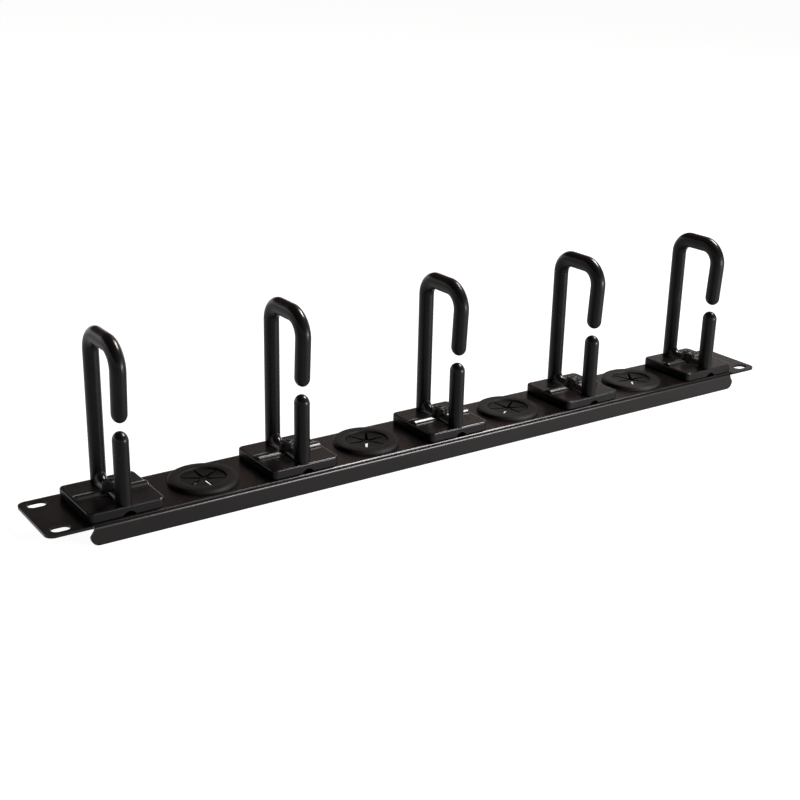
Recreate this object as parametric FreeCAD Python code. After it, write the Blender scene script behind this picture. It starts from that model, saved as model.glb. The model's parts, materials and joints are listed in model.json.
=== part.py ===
"""Horizontal cable manager for a 19-inch rack, one unit high.

A folded steel panel carries five moulded cable rings and four rubber grommets.
Each ring is one moulding: an oval bar bent into a C on a flat square foot, held by
one screw through its hub, with a washer and a nut behind the panel.

Frame: millimetres, +Z towards the rings, X along the panel, Y across its height.
The origin is in the middle of the plane that the two flange edges stand on.
"""
import FreeCAD, Part
import math
import os

V = FreeCAD.Vector
X_AXIS, Y_AXIS, Z_AXIS = V(1, 0, 0), V(0, 1, 0), V(0, 0, 1)

# Panel: one folded sheet
PANEL_LENGTH = 482.6
PANEL_HEIGHT = 44.0
SHEET = 1.5
BEND_INNER_R = 1.0
FLANGE_DEPTH = 10.8
FLANGE_LENGTH = 440.0
FLANGE_CORNER_R = 4.5
FLANGE_END_STRAIGHT = 0.3
FLANGE_FLARE = 2.0
EAR_CORNER_R = 4.5
RELIEF_WIDTH = 0.6
RELIEF_MARGIN = 0.6

# Rack slots in the ears
SLOT_PITCH_X = 465.1
SLOT_PITCH_Y = 31.75
SLOT_LENGTH = 10.0
SLOT_WIDTH = 6.8

# Rings along the panel
RING_COUNT = 5
RING_PITCH = 100.0

# Ring foot
FOOT_SIDE = 40.0
FOOT_THICKNESS = 5.2
FOOT_CORNER_R = 3.0
FOOT_EDGE_R = 0.8
FOOT_BASE_CHAMFER = 0.5
RIDGE_HALF_WIDTH = 3.5
RIDGE_HEIGHT = 1.8
RIDGE_END_R = 0.6
TUNNEL_HALF_WIDTH = 3.6
TUNNEL_HEIGHT = 2.4
TUNNEL_SHIFT = 1.0

# Ring bar: an oval, deeper in the plane of the ring than across it
BAR_HALF_WIDTH = 3.9
BAR_HALF_DEPTH = 4.75
BACK_LEG_Y = 16.3
STUB_INSET = 0.1
RUN_SINK = 1.35
RUN_INSET = 0.3
RING_RISE = 88.8
BACK_BEND_OUTER_R = 14.5
FRONT_BEND_OUTER_R = 16.0
CORNER_INNER_R = 5.0
FRONT_LEG_TOP_Y = -16.6
FRONT_LEG_END_Y = -15.5
RING_GAP = 4.5
STUB_RISE = 42.3

# Ring hub and its screw
HUB_WALL = 0.7
HUB_DRAFT = 0.7
HUB_RISE = 2.4
HUB_EDGE_R = 0.3
SCREW_R = 1.5
SCREW_LENGTH = 14.0
SCREW_CLEARANCE = 0.3
HEAD_R = 3.0
HEAD_HEIGHT = 2.4
HEAD_EDGE_R = 1.2
HEAD_CLEARANCE = 0.3
HEAD_PROUD = 0.6
RECESS_WIDTH = 0.8
RECESS_REACH = 1.7
RECESS_DEPTH = 1.2
WASHER_R = 3.5
WASHER_THICKNESS = 0.8
NUT_ACROSS_FLATS = 5.5
NUT_HEIGHT = 2.4
NUT_BORE_CLEARANCE = 0.05

# Grommets, midway between the rings
GROMMET_NECK_R = 15.0
GROMMET_NECK_WALL = 3.0
GROMMET_FRONT_LAP = 3.3
GROMMET_BACK_LAP = 2.0
GROMMET_FOLD_CLEARANCE = 0.5
GROMMET_RISE = 2.2
GROMMET_EDGE_R = 1.0
GROMMET_LIP_R = 0.5
GROMMET_NECK_CLEARANCE = 0.3
GROMMET_BACK_THICKNESS = 2.0
GROMMET_BACK_TAPER = 0.8
MEMBRANE_THICKNESS = 0.9
MEMBRANE_SINK = 1.6
SLIT_COUNT = 3
SLIT_WIDTH = 0.8
SLIT_END_MARGIN = 1.0
SLIT_CENTRE_R = 1.4
SLIT_TURNS = (29.0, 58.0, 38.0, 55.0)

# Modelling allowances: cutters run past a face, joined pieces reach into each other
OVERRUN = 1.0
OVERLAP = 0.2
TOUCH = 1e-3

# Heights and places that follow
PANEL_TOP = FLANGE_DEPTH
PANEL_BACK = PANEL_TOP - SHEET
BEND_OUTER_R = BEND_INNER_R + SHEET
FOOT_TOP = PANEL_TOP + FOOT_THICKNESS
LEG_FOOT_Z = PANEL_TOP - OVERRUN
RUN_Z = FOOT_TOP - RUN_SINK
HUB_TOP = RUN_Z + BAR_HALF_DEPTH + HUB_RISE
HEAD_SEAT = HUB_TOP + HEAD_PROUD - HEAD_HEIGHT
STUB_Y = -(FOOT_SIDE / 2 - STUB_INSET - BAR_HALF_DEPTH)
STUB_END_Z = PANEL_TOP + STUB_RISE - BAR_HALF_DEPTH
FRONT_END_Z = PANEL_TOP + STUB_RISE + RING_GAP + BAR_HALF_DEPTH
RING_TOP_AXIS = PANEL_TOP + RING_RISE - BAR_HALF_DEPTH
BACK_BEND_R = BACK_BEND_OUTER_R - BAR_HALF_DEPTH
FRONT_BEND_R = FRONT_BEND_OUTER_R - BAR_HALF_DEPTH
RING_PLACES = [(i - (RING_COUNT - 1) / 2) * RING_PITCH for i in range(RING_COUNT)]
GROMMET_PLACES = [(a + b) / 2 for a, b in zip(RING_PLACES, RING_PLACES[1:])]
HUB_TOP_R = max(BAR_HALF_WIDTH, HEAD_R + HEAD_CLEARANCE + HUB_WALL)
HUB_FOOT_R = HUB_TOP_R + HUB_DRAFT
GROMMET_R = GROMMET_NECK_R + GROMMET_FRONT_LAP
FOLD_Y = PANEL_HEIGHT / 2 - BEND_OUTER_R
FLANGE_NECK = FLANGE_LENGTH / 2 - FLANGE_FLARE
GROMMET_BACK_R = min(GROMMET_NECK_R + GROMMET_BACK_LAP, FOLD_Y - GROMMET_FOLD_CLEARANCE)
GROMMET_BORE_R = GROMMET_NECK_R - GROMMET_NECK_WALL
SLIT_REACH = GROMMET_BORE_R - SLIT_END_MARGIN
PANEL_SCREW_HOLE_R = SCREW_R + SCREW_CLEARANCE
PANEL_GROMMET_HOLE_R = GROMMET_NECK_R + GROMMET_NECK_CLEARANCE


def line(a, b):
    return Part.LineSegment(a, b).toShape()


def arc_through(a, middle, b):
    return Part.Arc(a, middle, b).toShape()


def rounded_rectangle(length, depth, radius, z):
    """A closed wire with round corners, centred on the Z axis."""
    hx, hy = length / 2, depth / 2
    corners = [(1, 1, 0), (-1, 1, 90), (-1, -1, 180), (1, -1, 270)]
    arcs = []
    for sx, sy, start in corners:
        centre = V(sx * (hx - radius), sy * (hy - radius), z)
        at = [math.radians(start + turn) for turn in (0, 45, 90)]
        a, m, b = [centre + V(radius * math.cos(t), radius * math.sin(t), 0) for t in at]
        arcs.append((a, m, b))
    edges = []
    for i, (a, m, b) in enumerate(arcs):
        edges.append(arc_through(a, m, b))
        edges.append(line(b, arcs[(i + 1) % len(arcs)][0]))
    return Part.Wire(edges)


def plate(wire, thickness):
    return Part.Face(wire).extrude(V(0, 0, thickness))


def cylinder(radius, low, high, x=0.0, y=0.0):
    return Part.makeCylinder(radius, high - low, V(x, y, low), Z_AXIS)


def fuse_all(shapes):
    return shapes[0].fuse(shapes[1:]).removeSplitter()


def edges_where(shape, test):
    return [e for e in shape.Edges if test(e)]


# ---------------------------------------------------------------- panel

def sheet_flat():
    """The flat face: full height at the ears, narrower where the flanges fold down."""
    flat = plate(rounded_rectangle(PANEL_LENGTH, PANEL_HEIGHT, EAR_CORNER_R, PANEL_BACK), SHEET)
    strip = BEND_OUTER_R + OVERRUN
    half = FLANGE_NECK + RELIEF_WIDTH
    for low_y in (FOLD_Y, -FOLD_Y - strip):
        corner = V(-half, low_y, PANEL_BACK - OVERRUN)
        flat = flat.cut(Part.makeBox(2 * half, strip, SHEET + 2 * OVERRUN, corner))
    return flat


def bend_section(x):
    """Quarter ring that joins the flat face to the front flange, as a face at x."""
    cy = -FOLD_Y
    cz = PANEL_TOP - BEND_OUTER_R

    def at(radius, degrees):
        t = math.radians(degrees)
        return V(x, cy + radius * math.cos(t), cz + radius * math.sin(t))

    wire = Part.Wire([
        arc_through(at(BEND_OUTER_R, 90), at(BEND_OUTER_R, 135), at(BEND_OUTER_R, 180)),
        line(at(BEND_OUTER_R, 180), at(BEND_INNER_R, 180)),
        arc_through(at(BEND_INNER_R, 180), at(BEND_INNER_R, 135), at(BEND_INNER_R, 90)),
        line(at(BEND_INNER_R, 90), at(BEND_OUTER_R, 90)),
    ])
    return Part.Face(wire)


def flange_outline(y):
    """The front flange seen square on: it flares to the round corners at its ends."""
    half = FLANGE_LENGTH / 2
    neck = FLANGE_NECK
    top = PANEL_TOP - BEND_OUTER_R
    flare_top = top - RELIEF_MARGIN
    r = FLANGE_CORNER_R
    flare_end = r + FLANGE_END_STRAIGHT
    slant = r * math.sqrt(0.5)

    def p(x, z):
        return V(x, y, z)

    return Part.Wire([
        line(p(-neck, top), p(-neck, flare_top)),
        line(p(-neck, flare_top), p(-half, flare_end)),
        line(p(-half, flare_end), p(-half, r)),
        arc_through(p(-half, r), p(-half + r - slant, r - slant), p(-half + r, 0)),
        line(p(-half + r, 0), p(half - r, 0)),
        arc_through(p(half - r, 0), p(half - r + slant, r - slant), p(half, r)),
        line(p(half, r), p(half, flare_end)),
        line(p(half, flare_end), p(neck, flare_top)),
        line(p(neck, flare_top), p(neck, top)),
        line(p(neck, top), p(-neck, top)),
    ])


def front_fold():
    bend = bend_section(-FLANGE_NECK).extrude(V(2 * FLANGE_NECK, 0, 0))
    flange = Part.Face(flange_outline(-PANEL_HEIGHT / 2)).extrude(V(0, SHEET, 0))
    return bend.fuse(flange)


def rack_slot(x, y):
    """Obround cutter that runs along X, from below the ear to above it."""
    r = SLOT_WIDTH / 2
    end = SLOT_LENGTH / 2
    straight = end - r
    low = PANEL_BACK - OVERRUN
    outline = Part.Wire([
        line(V(-straight, -r, low), V(straight, -r, low)),
        arc_through(V(straight, -r, low), V(end, 0, low), V(straight, r, low)),
        line(V(straight, r, low), V(-straight, r, low)),
        arc_through(V(-straight, r, low), V(-end, 0, low), V(-straight, -r, low)),
    ])
    cutter = plate(outline, SHEET + 2 * OVERRUN)
    cutter.translate(V(x, y, 0))
    return cutter


def bend_reliefs():
    """Notches beside the ears, so that each flange folds without tearing the ear."""
    depth = BEND_OUTER_R + RELIEF_MARGIN
    cuts = []
    for sx in (1, -1):
        for sy in (1, -1):
            x = sx * (FLANGE_NECK + RELIEF_WIDTH / 2)
            y = sy * (PANEL_HEIGHT / 2 - depth / 2)
            corner = V(x - RELIEF_WIDTH / 2, y - depth / 2, PANEL_TOP - depth)
            cuts.append(Part.makeBox(RELIEF_WIDTH, depth, depth + OVERRUN, corner))
    return cuts


def panel():
    front = front_fold()
    back = front.mirror(V(0, 0, 0), Y_AXIS)
    body = fuse_all([sheet_flat(), front, back])
    cuts = bend_reliefs()
    for sx in (1, -1):
        for sy in (1, -1):
            cuts.append(rack_slot(sx * SLOT_PITCH_X / 2, sy * SLOT_PITCH_Y / 2))
    low, high = PANEL_BACK - OVERRUN, PANEL_TOP + OVERRUN
    for x in RING_PLACES:
        cuts.append(cylinder(PANEL_SCREW_HOLE_R, low, high, x))
    for x in GROMMET_PLACES:
        cuts.append(cylinder(PANEL_GROMMET_HOLE_R, low, high, x))
    return body.cut(cuts)


# ---------------------------------------------------------------- ring

def foot():
    """The square foot: round corners, a radius on the top edge, a chamfer underneath."""
    wire = rounded_rectangle(FOOT_SIDE, FOOT_SIDE, FOOT_CORNER_R, PANEL_TOP)
    block = plate(wire, FOOT_THICKNESS)
    top = edges_where(block, lambda e: e.BoundBox.ZMin > FOOT_TOP - TOUCH)
    block = block.makeFillet(FOOT_EDGE_R, top)
    base = edges_where(block, lambda e: e.BoundBox.ZMax < PANEL_TOP + TOUCH)
    return block.makeChamfer(FOOT_BASE_CHAMFER, base)


def arch_section(half_width, height):
    """Closed wire in the YZ plane: one round arc over a flat side on z = 0."""
    left, crown, right = V(0, half_width, 0), V(0, 0, height), V(0, -half_width, 0)
    return Part.Wire([arc_through(left, crown, right), line(right, left)])


def ridge():
    """Low round ridge across the foot, left to right, under the bar's bottom run."""
    length = FOOT_SIDE - 2 * FOOT_EDGE_R
    solid = Part.Face(arch_section(RIDGE_HALF_WIDTH, RIDGE_HEIGHT)).extrude(V(length, 0, 0))
    solid.translate(V(-length / 2, 0, FOOT_TOP))
    half = RIDGE_HEIGHT / 2
    ends = edges_where(solid, lambda e: e.BoundBox.XLength < TOUCH and e.BoundBox.ZLength > half)
    return solid.makeFillet(RIDGE_END_R, ends)


def oval_face(centre, tilt, half_width, half_depth):
    """Oval section of the bar. Tilt 0 faces up; more turns it about X, towards -Y."""
    curve = Part.Ellipse(V(0, 0, 0), half_depth, half_width).toShape()
    curve.rotate(V(0, 0, 0), Z_AXIS, 90)
    curve.rotate(V(0, 0, 0), X_AXIS, tilt)
    curve.translate(centre)
    return Part.Face(Part.Wire(curve))


def on_circle(centre, radius, degrees):
    """Point of a circle in the YZ plane, counted from +Y towards +Z."""
    t = math.radians(degrees)
    return centre + V(0, radius * math.cos(t), radius * math.sin(t))


def round_end(centre, tilt):
    """Half of an oval ball that closes an end of the bar."""
    whole = Part.Ellipse(V(0, 0, 0), BAR_HALF_DEPTH, BAR_HALF_WIDTH)
    curve = Part.ArcOfEllipse(whole, -math.pi / 2, math.pi / 2).toShape()
    curve.rotate(V(0, 0, 0), Z_AXIS, 90)
    right, left = [v.Point for v in curve.Vertexes]
    face = Part.Face(Part.Wire([curve, line(left, right)]))
    face.rotate(V(0, 0, 0), X_AXIS, tilt)
    face.translate(centre)
    return face.revolve(centre, X_AXIS, 180)


def leg_stretches():
    """Straight length, bend radius and bend angle of the bar, from the foot to the gap."""
    drop = RING_TOP_AXIS - FRONT_BEND_R - FRONT_END_Z
    lean = math.atan2(FRONT_LEG_END_Y - FRONT_LEG_TOP_Y, drop)
    up = RING_TOP_AXIS - BACK_BEND_R - LEG_FOOT_Z
    across = (BACK_LEG_Y - BACK_BEND_R) - (FRONT_LEG_TOP_Y + FRONT_BEND_R)
    down = (drop - FRONT_BEND_R * math.sin(lean)) / math.cos(lean)
    return [(up, BACK_BEND_R, 90), (across, FRONT_BEND_R, 90 + math.degrees(lean)), (down, 0, 0)]


def legs():
    """Back leg, top and front leg, each stretch ending on the section the next begins on."""
    place, tilt, pieces = V(0, BACK_LEG_Y, LEG_FOOT_Z), 0, []
    for length, radius, bend in leg_stretches():
        face = oval_face(place, tilt, BAR_HALF_WIDTH, BAR_HALF_DEPTH)
        step = on_circle(V(0, 0, 0), length, tilt + 90)
        pieces.append(face.extrude(step))
        place = place + step
        if bend:
            centre = on_circle(place, radius, tilt + 180)
            face = oval_face(place, tilt, BAR_HALF_WIDTH, BAR_HALF_DEPTH)
            pieces.append(face.revolve(centre, X_AXIS, bend))
            tilt += bend
            place = on_circle(centre, radius, tilt)
    return pieces + [round_end(place, tilt)]


def stub():
    """The front leg's lower part, up to the gap."""
    foot_end = V(0, STUB_Y, FOOT_TOP - FOOT_EDGE_R - OVERRUN)
    top = V(0, STUB_Y, STUB_END_Z)
    face = oval_face(foot_end, 0, BAR_HALF_WIDTH, BAR_HALF_DEPTH)
    return [face.extrude(top - foot_end), round_end(top, 0)]


def bottom_run():
    """The run along the foot, and a thinner bend that rounds its corner with the leg."""
    start = V(0, BACK_LEG_Y, RUN_Z)
    face = oval_face(start, 90, BAR_HALF_WIDTH - RUN_INSET, BAR_HALF_DEPTH)
    run = face.extrude(V(0, STUB_Y - BACK_LEG_Y, 0))
    width, depth = BAR_HALF_WIDTH - 2 * RUN_INSET, BAR_HALF_DEPTH - RUN_INSET
    radius = CORNER_INNER_R + depth
    bend_start = start - V(0, radius, 0)
    corner = oval_face(bend_start, 90, width, depth)
    return [run, corner.revolve(bend_start + V(0, 0, radius), X_AXIS, 90)]


def hub():
    """Boss round the screw, a little taller than the bottom run."""
    solid = Part.makeCone(HUB_FOOT_R, HUB_TOP_R, HUB_TOP - FOOT_TOP, V(0, 0, FOOT_TOP), Z_AXIS)
    rim = edges_where(solid, lambda e: e.BoundBox.ZMin > HUB_TOP - TOUCH)
    return solid.makeFillet(HUB_EDGE_R, rim)


def underside_arch():
    """Cutter for the low arch that runs under the foot from front to back."""
    section = Part.Face(arch_section(TUNNEL_HALF_WIDTH, TUNNEL_HEIGHT))
    arch = section.extrude(V(FOOT_SIDE + 2 * OVERRUN, 0, 0))
    arch.rotate(V(0, 0, 0), Z_AXIS, 90)
    arch.translate(V(TUNNEL_SHIFT, -FOOT_SIDE / 2 - OVERRUN, PANEL_TOP))
    return arch


def ring():
    body = fuse_all([foot(), ridge()] + legs() + stub() + bottom_run() + [hub()])
    below = Part.makeBox(2 * FOOT_SIDE, 2 * FOOT_SIDE, PANEL_TOP, V(-FOOT_SIDE, -FOOT_SIDE, 0))
    head_pocket = cylinder(HEAD_R + HEAD_CLEARANCE, HEAD_SEAT, HUB_TOP + OVERRUN)
    bore = cylinder(SCREW_R + SCREW_CLEARANCE, PANEL_TOP - OVERRUN, HUB_TOP + OVERRUN)
    return body.cut([below, head_pocket, bore, underside_arch()])


# ---------------------------------------------------------------- fasteners

def screw():
    """Pan-head screw with a cross recess, from the hub's seat through the panel."""
    top = HEAD_SEAT + HEAD_HEIGHT
    head = cylinder(HEAD_R, HEAD_SEAT, top)
    rim = edges_where(head, lambda e: e.BoundBox.ZMin > top - TOUCH)
    shank = cylinder(SCREW_R, HEAD_SEAT - SCREW_LENGTH, HEAD_SEAT + OVERLAP)
    body = head.makeFillet(HEAD_EDGE_R, rim).fuse(shank)
    across = 2 * RECESS_REACH
    for length, depth in ((across, RECESS_WIDTH), (RECESS_WIDTH, across)):
        corner = V(-length / 2, -depth / 2, top - RECESS_DEPTH)
        body = body.cut(Part.makeBox(length, depth, RECESS_DEPTH + OVERRUN, corner))
    return body.removeSplitter()


def washer():
    high = PANEL_BACK
    low = high - WASHER_THICKNESS
    bore = cylinder(SCREW_R + SCREW_CLEARANCE, low - OVERRUN, high + OVERRUN)
    return cylinder(WASHER_R, low, high).cut(bore)


def nut():
    high = PANEL_BACK - WASHER_THICKNESS
    low = high - NUT_HEIGHT
    corner_r = NUT_ACROSS_FLATS / math.sqrt(3)
    turns = [math.radians(60 * i) for i in range(7)]
    wire = Part.makePolygon([V(corner_r * math.cos(t), corner_r * math.sin(t), low) for t in turns])
    body = plate(wire, NUT_HEIGHT)
    return body.cut(cylinder(SCREW_R + NUT_BORE_CLEARANCE, low - OVERRUN, high + OVERRUN))


# ---------------------------------------------------------------- grommet

def grommet_body():
    """Revolved rubber section: front flange, neck in the panel hole, back flange."""
    top = PANEL_TOP + GROMMET_RISE
    back = PANEL_BACK - GROMMET_BACK_THICKNESS
    profile = Part.makePolygon([
        V(GROMMET_BORE_R, 0, back),
        V(GROMMET_BACK_R - GROMMET_BACK_TAPER, 0, back),
        V(GROMMET_BACK_R, 0, PANEL_BACK),
        V(GROMMET_NECK_R, 0, PANEL_BACK),
        V(GROMMET_NECK_R, 0, PANEL_TOP),
        V(GROMMET_R, 0, PANEL_TOP),
        V(GROMMET_R, 0, top),
        V(GROMMET_BORE_R, 0, top),
        V(GROMMET_BORE_R, 0, back),
    ])
    body = Part.Face(profile).revolve(V(0, 0, 0), Z_AXIS, 360)

    for radius, round_r in ((GROMMET_R, GROMMET_EDGE_R), (GROMMET_BORE_R, GROMMET_LIP_R)):
        rim = edges_where(body, lambda e: e.BoundBox.ZMin > top - TOUCH
                          and abs(e.BoundBox.XMax - radius) < TOUCH)
        body = body.makeFillet(round_r, rim)
    return body


def membrane(turn):
    """Thin web across the bore, cut into six flaps by three crossing slits."""
    high = PANEL_TOP + GROMMET_RISE - MEMBRANE_SINK
    low = high - MEMBRANE_THICKNESS
    web = cylinder(GROMMET_BORE_R + OVERLAP, low, high)
    cuts = [cylinder(SLIT_CENTRE_R, low - OVERRUN, high + OVERRUN)]
    for i in range(SLIT_COUNT):
        corner = V(-SLIT_REACH, -SLIT_WIDTH / 2, low - OVERRUN)
        slit = Part.makeBox(2 * SLIT_REACH, SLIT_WIDTH, MEMBRANE_THICKNESS + 2 * OVERRUN, corner)
        slit.rotate(V(0, 0, 0), Z_AXIS, turn + i * 180 / SLIT_COUNT)
        cuts.append(slit)
    return web.cut(cuts)


def grommet(turn):
    return grommet_body().fuse(membrane(turn)).removeSplitter()


# ---------------------------------------------------------------- write

def moved(shape, x):
    copy = shape.copy()
    copy.translate(V(x, 0, 0))
    return copy


def save(name, shape):
    if not shape.isValid():
        raise ValueError(name + " is not a valid solid")
    shape.exportStep("parts/" + name + ".step")
    print(name, len(shape.Solids), "solids", round(shape.Volume, 1), "mm3")


def main():
    os.makedirs("parts", exist_ok=True)
    save("panel", panel())
    one_ring = ring()
    for i, x in enumerate(RING_PLACES):
        save("ring_%d" % (i + 1), moved(one_ring, x))
    for i, (x, turn) in enumerate(zip(GROMMET_PLACES, SLIT_TURNS)):
        save("grommet_%d" % (i + 1), moved(grommet(turn), x))
    for name, piece in (("ring_screws", screw()), ("ring_washers", washer()), ("ring_nuts", nut())):
        save(name, Part.makeCompound([moved(piece, x) for x in RING_PLACES]))


main()
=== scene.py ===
# %% [markdown]
# # A horizontal cable manager, one rack unit high
# The part is a folded steel panel for a 19-inch rack. Five moulded rings on it hold cables,
# and four rubber grommets let them through. The rigid pieces already have their exact shape,
# so this lesson is about finish, and about the grommets, which are modelled again. All of it
# is nearly black. On a dark object the eye reads the highlights, so most of the work goes
# into roughness, fine bump and lights.

# %% Load the frame
import json
import math

import bmesh
import bpy
from mathutils import Matrix, Vector


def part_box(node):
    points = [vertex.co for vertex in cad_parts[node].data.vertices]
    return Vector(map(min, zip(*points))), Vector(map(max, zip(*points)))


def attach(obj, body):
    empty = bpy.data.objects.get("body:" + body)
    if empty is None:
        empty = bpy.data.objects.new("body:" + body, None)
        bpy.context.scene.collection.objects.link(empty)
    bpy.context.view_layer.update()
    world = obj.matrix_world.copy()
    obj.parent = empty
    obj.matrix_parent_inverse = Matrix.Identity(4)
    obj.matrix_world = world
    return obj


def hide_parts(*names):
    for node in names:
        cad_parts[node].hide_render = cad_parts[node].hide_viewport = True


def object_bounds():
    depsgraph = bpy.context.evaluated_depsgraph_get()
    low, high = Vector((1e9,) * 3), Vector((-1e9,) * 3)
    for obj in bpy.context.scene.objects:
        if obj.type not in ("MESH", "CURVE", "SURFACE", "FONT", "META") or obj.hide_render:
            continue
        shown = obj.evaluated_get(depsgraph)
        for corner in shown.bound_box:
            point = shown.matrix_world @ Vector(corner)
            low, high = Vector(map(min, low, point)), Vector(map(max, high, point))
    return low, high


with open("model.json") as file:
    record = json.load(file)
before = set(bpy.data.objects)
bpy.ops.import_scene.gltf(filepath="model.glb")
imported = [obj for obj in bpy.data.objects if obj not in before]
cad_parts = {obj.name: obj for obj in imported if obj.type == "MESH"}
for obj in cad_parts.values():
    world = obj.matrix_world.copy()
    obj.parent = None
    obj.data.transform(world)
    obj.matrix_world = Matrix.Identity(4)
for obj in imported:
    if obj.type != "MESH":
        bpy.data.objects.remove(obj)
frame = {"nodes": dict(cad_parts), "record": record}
cad_low, cad_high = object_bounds()
MM = 0.001
print("object box, mm:", [round(v / MM, 1) for v in cad_high - cad_low])

# %% [markdown]
# ## Node maths as Python
# A finish varies by sums of patterns. Each sum could be a Math node made by hand, which soon
# gets long. A small class that wraps a socket lets an expression such as `1 - mask * 0.3`
# make those nodes, so that a finish reads as a few lines.

# %% A socket that can be added and multiplied
class Value:
    """The output of a node, which Python's operators work on."""

    def __init__(self, graph, socket):
        self.graph, self.socket = graph, socket

    def _math(self, operation, a, b):
        return self.graph.value("ShaderNodeMath", {"operation": operation}, {0: a, 1: b})

    def __add__(self, other):
        return self._math("ADD", self, other)

    def __sub__(self, other):
        return self._math("SUBTRACT", self, other)

    def __rsub__(self, other):
        return self._math("SUBTRACT", other, self)

    def __mul__(self, other):
        return self._math("MULTIPLY", self, other)

    __radd__, __rmul__ = __add__, __mul__


print("these make Math nodes: + - *")

# %% [markdown]
# ## One way to add a node
# Every node is made by the same moves: choose its type, change its settings, fill its
# sockets. One method does all three. The settings come first, because some of them decide
# which sockets the node has.

# %% A material and its nodes
class Graph:
    """One material, with its Principled shader.

    The plain color and roughness are what a viewer without node support shows.
    """

    def __init__(self, name, color, roughness, **constants):
        self.material = bpy.data.materials.new(name)
        self.material.use_nodes = True
        self.tree = self.material.node_tree
        self.shader = self.tree.nodes["Principled BSDF"]
        self.set("Base Color", (*color, 1))
        self.set("Roughness", roughness)
        for socket, constant in constants.items():
            self.set(socket.replace("_", " "), constant)

    def fill(self, socket, given):
        """Link a Value to a socket, or set the socket to a constant."""
        if isinstance(given, Value):
            self.tree.links.new(given.socket, socket)
        else:
            socket.default_value = given

    def set(self, name, given):
        self.fill(self.shader.inputs[name], given)

    def node(self, kind, settings, inputs):
        made = self.tree.nodes.new(kind)
        for key, setting in settings.items():
            setattr(made, key, setting)
        for key, given in inputs.items():
            self.fill(made.inputs[key], given)
        return made

    def value(self, kind, settings, inputs, output=0):
        return Value(self, self.node(kind, settings, inputs).outputs[output])

    def tell(self):
        print(self.material.name, "has", len(self.tree.nodes), "nodes")


print("a Graph makes one material")

# %% [markdown]
# ## Patterns that the finishes share
# A real surface varies at several sizes at once. An image texture would need every face
# laid out flat. Noise on Object coordinates needs no layout and has one scale all over, and
# several sizes of it can be summed. Upright faces mirror the white floor, so a second
# pattern, made from the normal, keeps the gloss for faces that look up.

# %% Noise, colours, faces that look up, and bump
UP_FROM, UP_FULL = 0.1, 0.6  # height of the normal where the gloss starts and is complete


class Finish(Graph):
    """A material that varies with patterns on the object's own coordinates."""

    def __init__(self, *given, **constants):
        super().__init__(*given, **constants)
        self.place = self.value("ShaderNodeTexCoord", {}, {}, "Object")

    def noise(self, size, detail=2.0):
        """Noise from 0 to 1 whose lumps are about size metres across."""
        inputs = {"Vector": self.place, "Scale": 1 / size, "Detail": detail}
        return self.value("ShaderNodeTexNoise", {}, inputs, "Fac")

    def mix(self, factor, a, b):
        """Colour a where factor is 0, colour b where it is 1."""
        inputs = {"Factor": factor, 6: (*a, 1), 7: (*b, 1)}
        return self.value("ShaderNodeMix", {"data_type": "RGBA"}, inputs, 2)

    def upward(self):
        """0 where the surface is upright or faces down, 1 where it faces up."""
        normal = self.value("ShaderNodeTexCoord", {}, {}, "Normal")
        rise = self.value("ShaderNodeSeparateXYZ", {}, {"Vector": normal}, "Z")
        inputs = {"Value": rise, "From Min": UP_FROM, "From Max": UP_FULL}
        return self.value("ShaderNodeMapRange", {"interpolation_type": "SMOOTHSTEP"}, inputs)

    def bump(self, height, distance, strength):
        inputs = {"Height": height, "Distance": distance, "Strength": strength}
        self.set("Normal", self.value("ShaderNodeBump", {}, inputs))


print("gloss starts at", round(math.degrees(math.asin(UP_FROM))), "degrees from upright")

# %% [markdown]
# ## Powder-coated steel
# Powder coat melts into a skin with a faint orange peel, about a millimetre from crest to
# crest, and a finer grain on top. A single noise looks either too smooth or too rough, so
# two of different size are summed. The gloss is a clear coat, which `upward` drives.

# %% Panel finish
PLAIN_BLACK = (0.03, 0.03, 0.03)
PEEL, GRAIN, COAT_PATCH = 1.1 * MM, 0.28 * MM, 30 * MM
COAT_DARK, COAT_PALE = (0.0033, 0.0024, 0.0021), (0.0049, 0.0037, 0.0033)

coat = Finish("panel_powder_coat", PLAIN_BLACK, 0.3, Specular_IOR_Level=0.16,
              Coat_Roughness=0.2)
peel, grain, patches = coat.noise(PEEL), coat.noise(GRAIN, 1.0), coat.noise(COAT_PATCH)
coat.set("Base Color", coat.mix(patches, COAT_DARK, COAT_PALE))
coat.set("Roughness", 0.25 + patches * 0.05 + grain * 0.04)
coat.set("Coat Weight", coat.upward() * (0.45 + patches * 0.12))
coat.bump(peel * 0.7 + grain * 0.3, distance=0.008 * MM, strength=0.3)
coat.tell()

# %% [markdown]
# ## Moulded ring plastic
# A satin base under a glossier coat gives the rings both kinds of highlight: soft strips on
# the legs and sharp ones on the bends. One roughness can't do both. A slow change of colour,
# roughness and coat stands for flow marks.

# %% Ring finish
FLOW, MOULD_TEXTURE = 12 * MM, 0.5 * MM
RING_DARK, RING_PALE = (0.0024, 0.0021, 0.0020), (0.0040, 0.0035, 0.0034)

plastic = Finish("ring_moulded_plastic", PLAIN_BLACK, 0.42, Specular_IOR_Level=0.09,
                 Coat_Roughness=0.2)
flow, fine = plastic.noise(FLOW), plastic.noise(MOULD_TEXTURE, 1.0)
plastic.set("Base Color", plastic.mix(flow, RING_DARK, RING_PALE))
plastic.set("Roughness", 0.38 + flow * 0.06 + fine * 0.02)
plastic.set("Coat Weight", plastic.upward() * 0.8 + flow * 0.06)
plastic.bump(fine, distance=0.002 * MM, strength=0.2)
plastic.tell()
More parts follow.
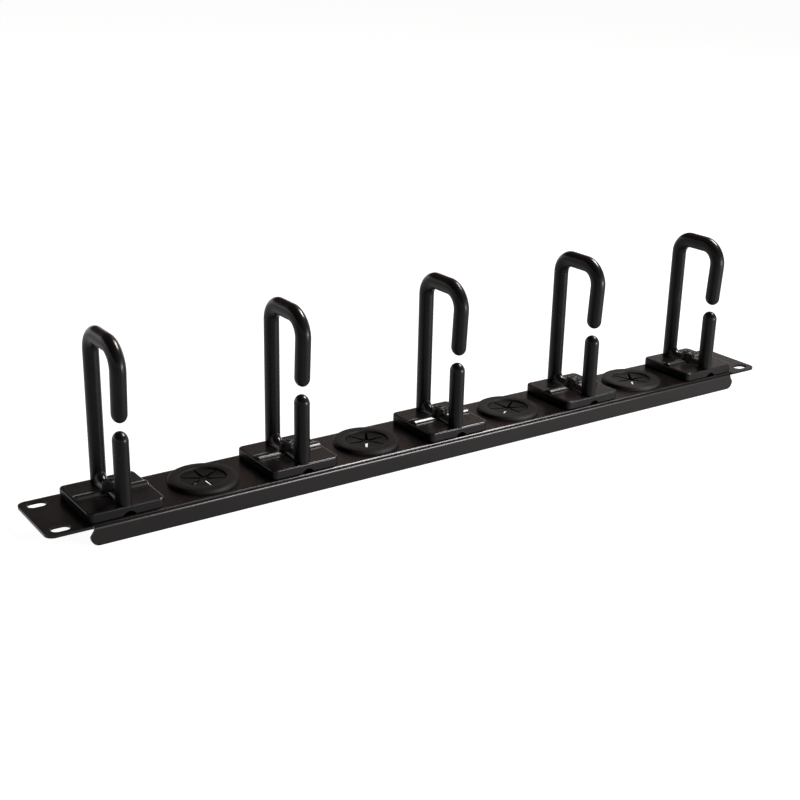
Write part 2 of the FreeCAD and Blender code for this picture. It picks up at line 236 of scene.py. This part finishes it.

# %% [markdown]
# ## Grommet rubber
# Soft rubber scatters light at its skin and holds a little dust, so it gets no coat and a
# coarser bump. The cut sides of the slits are a material of their own: rougher, with painted
# shade that colours them near black, so that the star reads as black lines.

# %% Rubber finish
DUST, PORES, TEAR = 7 * MM, 0.35 * MM, 0.6 * MM
RUBBER_DARK, RUBBER_PALE = (0.0054, 0.0041, 0.0041), (0.0084, 0.0066, 0.0066)
SLIT_SHADE_DARK, SLIT_SHADE_PALE = (0.001, 0.0009, 0.0009), (0.002, 0.0018, 0.0018)

rubber = Finish("grommet_soft_rubber", PLAIN_BLACK, 0.55, Specular_IOR_Level=0.2)
dust, pores = rubber.noise(DUST, 4.0), rubber.noise(PORES)
rubber.set("Base Color", rubber.mix(dust, RUBBER_DARK, RUBBER_PALE))
rubber.set("Roughness", 0.48 + dust * 0.1 + pores * 0.05)
rubber.bump(pores, distance=0.02 * MM, strength=0.45)
rubber.tell()

# painted shade: the slit sides and the bore beneath the flaps are coloured near black to
# stand for the shade inside them
painted_slit_shade = Finish("grommet_painted_slit_shade", (0.01, 0.01, 0.01), 0.9, Specular_IOR_Level=0.02)
tear = painted_slit_shade.noise(TEAR)
painted_slit_shade.set("Base Color", painted_slit_shade.mix(tear, SLIT_SHADE_DARK, SLIT_SHADE_PALE))
painted_slit_shade.set("Roughness", 0.8 + tear * 0.15)
painted_slit_shade.tell()

# %% [markdown]
# ## Fasteners
# The screws are blacked, and the washers and nuts behind the panel are zinc plated. Both
# are metals, whose own colour tints the reflection. Plating grows in crystal patches, which
# show as small changes of roughness rather than of colour.

# %% Fastener finishes
OXIDE, CRYSTAL = 0.6 * MM, 0.8 * MM
OXIDE_DARK, OXIDE_PALE = (0.024, 0.024, 0.024), (0.04, 0.039, 0.038)
ZINC_DARK, ZINC_PALE = (0.56, 0.57, 0.58), (0.68, 0.69, 0.70)

blacking = Finish("screw_black_oxide", PLAIN_BLACK, 0.33, Metallic=0.6)
oxide = blacking.noise(OXIDE)
blacking.set("Base Color", blacking.mix(oxide, OXIDE_DARK, OXIDE_PALE))
blacking.set("Roughness", 0.26 + oxide * 0.16)
blacking.tell()

zinc = Finish("fastener_zinc_plating", (0.62, 0.63, 0.64), 0.3, Metallic=1.0)
crystal = zinc.noise(CRYSTAL, 3.0)
zinc.set("Base Color", zinc.mix(crystal, ZINC_DARK, ZINC_PALE))
zinc.set("Roughness", 0.24 + crystal * 0.18)
zinc.tell()

# %% [markdown]
# ## A finish for every piece
# The record says which slot each piece has, so that a table from slot to finish is enough,
# and a piece that is added later gets its finish by itself.

# %% Give every node its finish
finishes = {"panel_steel": coat, "ring_plastic": plastic, "grommet_rubber": rubber,
            "screw_black": blacking, "fastener_zinc": zinc}
for entry in frame["record"]["subparts"]:
    node = frame["nodes"][entry["node"]]
    node.data.materials.clear()
    node.data.materials.append(finishes[entry["material_slot"]].material)
    print(entry["node"], "->", entry["material_slot"])

# %% [markdown]
# ## Grommets: the rim
# A grommet is a rubber moulding that snaps into a hole: a flange on each side, a neck
# between them, and slit flaps across its bore. The flaps are what the eye finds first, and
# real ones part a little towards the middle and sag, which a straight slit doesn't show. So
# the grommet is made again. The rim is round, so half of its section is drawn once and spun.

# %% Section of the rim
BORE_R, NECK_R, BACK_R = 12 * MM, 15 * MM, 17 * MM
RISE, SHEET, BACK_TAPER = 2.2 * MM, 1.5 * MM, 0.8 * MM
FLAP_SINK, FLAP_THICKNESS, FLAP_PROUD = 1.0 * MM, 0.9 * MM, 0.05 * MM
SLIT_END_R = 11 * MM


def rim_outline(outer, back, top):
    """Corners of the section in radius and height, with a ledge where the slits end."""
    seat, ledge = top - RISE, top - FLAP_SINK - FLAP_PROUD
    under = ledge - FLAP_THICKNESS + 2 * FLAP_PROUD
    return [(BORE_R, back), (BACK_R - BACK_TAPER, back), (BACK_R, seat - SHEET),
            (NECK_R, seat - SHEET), (NECK_R, seat), (outer, seat), (outer, top),
            (BORE_R, top), (BORE_R, ledge), (SLIT_END_R, ledge), (SLIT_END_R, under),
            (BORE_R, under)]


print("the neck's wall is", round((NECK_R - BORE_R) / MM, 1), "mm thick")

# %% [markdown]
# ## Rounding one circle of edges
# Moulded rubber has no sharp rim. A Bevel modifier would round every edge alike, while here
# the outer edge needs a larger radius than the lip. The bevel operator takes a list of
# edges, and those of one circle are found by their radius and height.

# %% Rim
EDGE_R, LIP_R = 1.0 * MM, 0.5 * MM
NEAR, DOUBLE = 0.01 * MM, 0.001 * MM
ROUND_STEPS, ROUNDING_SEGMENTS = 96, 4
SHARP = math.radians(35)
UP = (0, 0, 1)


def round_circle(bm, centre, radius, height, amount):
    """Round the edges that lie on one circle."""
    def on_circle(vert):
        return (abs((vert.co - centre).xy.length - radius) < NEAR
                and abs(vert.co.z - height) < NEAR)
    circle = [e for e in bm.edges if all(on_circle(v) for v in e.verts)]
    bmesh.ops.bevel(bm, geom=circle, offset=amount, affect="EDGES",
                    segments=ROUNDING_SEGMENTS, profile=0.5, material=-1)


def rim(centre, outer, back, top):
    """Spin the section right round, round its edges, and give the bore below the flaps
    painted shade.
    """
    bm = bmesh.new()
    corners = [bm.verts.new((centre.x + r, centre.y, z))
               for r, z in rim_outline(outer, back, top)]
    loop = [bm.edges.new(pair) for pair in zip(corners, corners[1:] + corners[:1])]
    bmesh.ops.spin(bm, geom=corners + loop, cent=centre, axis=UP,
                   angle=2 * math.pi, steps=ROUND_STEPS, use_merge=True)
    bmesh.ops.remove_doubles(bm, verts=bm.verts, dist=DOUBLE)
    bmesh.ops.recalc_face_normals(bm, faces=bm.faces)
    round_circle(bm, centre, outer, top, EDGE_R)
    round_circle(bm, centre, BORE_R, top, LIP_R)
    for edge in bm.edges:
        edge.smooth = edge.calc_face_angle() < SHARP
    # painted shade: faces in the bore below the flaps take the near-black slit material
    for face in bm.faces:
        spot = face.calc_center_median()
        inside = (spot - centre).xy.length < BORE_R + NEAR
        face.material_index = int(inside and spot.z < top - FLAP_SINK - 2 * FLAP_PROUD)
    return bm


print("outer edge and lip rounded, mm:", round(EDGE_R / MM, 1), round(LIP_R / MM, 1))

# %% [markdown]
# ## Grommets: the flaps
# Three slits make six flaps. They could be cut from a disc, but then their sides would have
# to be found again. One flap is easier: a line from the middle hole to the bore, spun
# through a sixth of a turn. A slanted cut along each side leaves the slit wider in the
# middle than at its end, and a last spin copies the flap round the bore.

# %% Cut a flap's side
FLAPS = 6
GAP_MIDDLE, GAP_END = 1.9 * MM, 0.9 * MM
SLANT = math.atan((GAP_MIDDLE - GAP_END) / 2 / SLIT_END_R)


def trim(bm, centre, turn, side):
    """Cut a flap's side back from the slit that runs at angle turn."""
    away = Matrix.Rotation(turn - SLANT * side, 3, "Z") @ Vector((0, -side, 0))
    along = Matrix.Rotation(turn, 3, "Z") @ Vector((0, side * GAP_MIDDLE / 2, 0))
    bmesh.ops.bisect_plane(bm, geom=bm.verts[:] + bm.edges[:] + bm.faces[:],
                           plane_co=centre + along, plane_no=away, clear_outer=True)


print("each side of a slit slants by", round(math.degrees(SLANT), 1), "degrees")

# %% Flaps
HOLE_R, FLAP_SAG, FLAP_LAP = 2.2 * MM, 0.3 * MM, 0.2 * MM
CUTS_ALONG, STEPS_ROUND = 6, 12
SIXTH = 2 * math.pi / FLAPS


def flap_ring(centre, height, turn):
    """Thin sheets between slits, of which the first runs at angle turn."""
    bm = bmesh.new()
    level = Matrix.Translation(centre) @ Matrix.Rotation(turn, 4, "Z")
    ends = [bm.verts.new(level @ Vector((r, 0, height))) for r in (HOLE_R, BORE_R + FLAP_LAP)]
    line = bm.edges.new(ends)
    bmesh.ops.subdivide_edges(bm, edges=[line], cuts=CUTS_ALONG)
    bmesh.ops.spin(bm, geom=bm.verts[:] + bm.edges[:], cent=centre, axis=UP,
                   angle=SIXTH, steps=STEPS_ROUND)
    trim(bm, centre, turn, 1)
    trim(bm, centre, turn + SIXTH, -1)
    for vert in bm.verts:
        vert.co.z -= FLAP_SAG * (1 - (vert.co - centre).xy.length / BORE_R) ** 2
    if sum(face.normal.z for face in bm.faces) < 0:
        bmesh.ops.reverse_faces(bm, faces=bm.faces)
    bmesh.ops.spin(bm, geom=bm.verts[:] + bm.edges[:] + bm.faces[:], cent=centre, axis=UP,
                   angle=SIXTH * (FLAPS - 1), steps=FLAPS - 1, use_duplicate=True)
    return bm


print("a flap reaches from radius", round(HOLE_R / MM, 1), "to", round(BORE_R / MM, 1), "mm")

# %% [markdown]
# ## From bmesh to piece
# A bmesh is only a workbench. A finished piece also needs an object at the origin, its rubber
# and the near-black rubber that paints shade in the slits, a body to ride on and the node
# that it stands for. Both halves of a grommet need all of that, so it is one function.

# %% Make a piece of a bmesh
def finished(name, bm, node):
    """Turn a bmesh into a rubber piece that rides on the body and stands for the node."""
    for face in bm.faces:
        face.smooth = True
    mesh = bpy.data.meshes.new(name)
    bm.to_mesh(mesh)
    bm.free()
    piece = bpy.data.objects.new(name, mesh)
    bpy.context.scene.collection.objects.link(piece)
    mesh.materials.append(rubber.material)
    # painted shade: the second slot is the near-black rubber that stands for shade in the
    # slits
    mesh.materials.append(painted_slit_shade.material)
    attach(piece, "root")
    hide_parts(node)
    print(name, "has", len(mesh.polygons), "faces")
    return piece


# %% [markdown]
# ## Place the grommets
# Each grommet is built round the middle of the one that it replaces, with its slits turned
# as they happened to be pressed in. The flaps stay a thin sheet until the end: Solidify
# gives them their thickness and paints the slit shade on their sides, and Bevel softens the
# cuts.

# %% Place the grommets
SLIT_TURNS = {"grommet_1": 29, "grommet_2": 58, "grommet_3": 38, "grommet_4": 55}
CUT_SOFTNESS, CUT_SEGMENTS = 0.12 * MM, 2
SHADE_SLOT_OFFSET = 1  # a piece has rubber in its first slot and the painted slit shade in the next

for node, turn in SLIT_TURNS.items():
    low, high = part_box(node)
    centre = Vector(((low[0] + high[0]) / 2, (low[1] + high[1]) / 2, 0))
    finished(node + "_rim", rim(centre, (high[0] - low[0]) / 2, low[2], high[2]), node)
    sheets = flap_ring(centre, high[2] - FLAP_SINK, math.radians(turn))
    flaps = finished(node + "_flaps", sheets, node)
    skin = flaps.modifiers.new("thickness", "SOLIDIFY")
    skin.thickness, skin.offset = FLAP_THICKNESS, -1
    # painted shade: the flap sides that Solidify makes take the near-black second slot
    skin.material_offset_rim = SHADE_SLOT_OFFSET
    soft = flaps.modifiers.new("soft_edges", "BEVEL")
    soft.width, soft.segments, soft.limit_method = CUT_SOFTNESS, CUT_SEGMENTS, "ANGLE"

# %% [markdown]
# ## Floor
# A white room shows behind the part from every side. A flat floor would end at a grey
# horizon in the low views, so the floor is a wide dish. Its wall stays under the directions
# that the level tops reflect, or they would turn grey.

# %% Floor shape
ROOM_R, WALL_HEIGHT, ROOM_SIDES = 15.0, 3.4, 96

bm = bmesh.new()
bmesh.ops.create_circle(bm, cap_ends=True, segments=ROOM_SIDES, radius=ROOM_R)
border = [edge for edge in bm.edges if edge.is_boundary]
wall = bmesh.ops.extrude_edge_only(bm, edges=border)["geom"]
bmesh.ops.translate(bm, vec=(0, 0, WALL_HEIGHT),
                    verts=[v for v in wall if isinstance(v, bmesh.types.BMVert)])
floor_mesh = bpy.data.meshes.new("floor")
bm.to_mesh(floor_mesh)
bm.free()
floor = bpy.data.objects.new("floor", floor_mesh)
bpy.context.scene.collection.objects.link(floor)
print("the floor has", len(floor_mesh.polygons), "faces")

# %% [markdown]
# ## Floor paper
# More light would whiten the floor, but it would wash out the part as well. Instead a glow
# is added only for rays that look at the floor or see it in a gloss or through glass. The
# light that it throws on the part is that of a plain mid grey, and it still takes a shadow.

# %% Floor paper
FLOOR_GLOW, FLOOR_GREY = 0.96, (0.3, 0.3, 0.3)

paper = Graph("floor_paper", FLOOR_GREY, 1.0, Specular_IOR_Level=0.0)
path = paper.node("ShaderNodeLightPath", {}, {})
camera_ray, glossy_ray, through_ray = (
    Value(paper, path.outputs[name])
    for name in ("Is Camera Ray", "Is Glossy Ray", "Is Transmission Ray"))
looked_at = 1 - (1 - camera_ray) * (1 - glossy_ray) * (1 - through_ray)
matt = Value(paper, paper.shader.outputs["BSDF"])
glow = paper.value("ShaderNodeEmission", {}, {"Strength": FLOOR_GLOW})
both = paper.value("ShaderNodeAddShader", {}, {0: matt, 1: glow})
surface = paper.value("ShaderNodeMixShader", {}, {0: looked_at, 1: matt, 2: both})
paper.fill(paper.tree.nodes["Material Output"].inputs["Surface"], surface)
floor_mesh.materials.append(paper.material)
paper.tell()

# %% [markdown]
# ## World
# Above the wall of the dish there is only the world. It is a dim warm grey, so that the
# level tops, which reflect it, stay dark and a little brown.

# %% World
WORLD_FILL, WORLD_COLOR = 0.068, (1.0, 0.78, 0.70, 1)

world = bpy.data.worlds.new("studio")
bpy.context.scene.world = world
world.use_nodes = True
background = world.node_tree.nodes["Background"]
background.inputs["Color"].default_value = WORLD_COLOR
background.inputs["Strength"].default_value = WORLD_FILL
print("the world's strength is", WORLD_FILL)

# %% [markdown]
# ## Lights
# One lamp can light a dark object, but it can't draw all its edges. A strong one high on the
# right draws the bright lines along the fold and the ridges. A dim broad one behind the
# right end gives the tops their grey. A flat one, standing on the floor at the right front,
# lights the flange and puts a strip down the side of each leg.

# %% Lamps
WARM, WHITE, COOL = (1.0, 0.74, 0.67), (1.0, 0.95, 0.93), (0.97, 0.98, 1.0)
middle = (cad_low + cad_high) / 2


def lamp(name, place, size, power, color):
    """A rectangular lamp that stands at place, counted from the middle, and faces it."""
    data = bpy.data.lights.new(name, "AREA")
    data.shape = "RECTANGLE"
    data.size, data.size_y = size
    data.energy, data.color = power, color
    made = bpy.data.objects.new(name, data)
    bpy.context.scene.collection.objects.link(made)
    made.location = middle + Vector(place)
    made.rotation_euler = (-Vector(place)).to_track_quat("-Z", "Y").to_euler()
    print(name, "stands", round(Vector(place).length, 2), "m away with", power, "W")


lamp("right_high", (0.85, 0.08, 1.32), (0.70, 0.36), 27, WHITE)
lamp("back_right", (1.0, 1.0, 0.72), (1.2, 1.2), 0.42, WARM)
lamp("front_low", (0.35, -0.70, 0.03), (0.45, 0.14), 10, COOL)

# %% [markdown]
# ## Camera
# A wide lens close by would shrink the far rings to dots. A slightly long one looks along
# the panel from its left front and keeps them large enough to read. The camera is turned by
# a little over a degree about its own axis, as one held by hand would be.

# %% Camera
CAMERA_PLACE = Vector((-0.42663, -0.57470, 0.28950))
CAMERA_TARGET = Vector((0.00423, 0.04632, 0.0108))
CAMERA_ROLL = math.radians(1.352)
SENSOR, LENS = 36.0, 60.07

camera_data = bpy.data.cameras.new("camera")
camera_data.sensor_width, camera_data.lens = SENSOR, LENS
camera = bpy.data.objects.new("camera", camera_data)
bpy.context.scene.collection.objects.link(camera)
camera.location = CAMERA_PLACE
aim = (CAMERA_TARGET - CAMERA_PLACE).to_track_quat("-Z", "Y").to_matrix()
camera.rotation_euler = (aim @ Matrix.Rotation(CAMERA_ROLL, 3, "Z")).to_euler()
bpy.context.scene.camera = camera
bpy.context.scene.view_settings.view_transform = "Standard"
print("the camera is", round((CAMERA_TARGET - CAMERA_PLACE).length, 2), "m from its target")
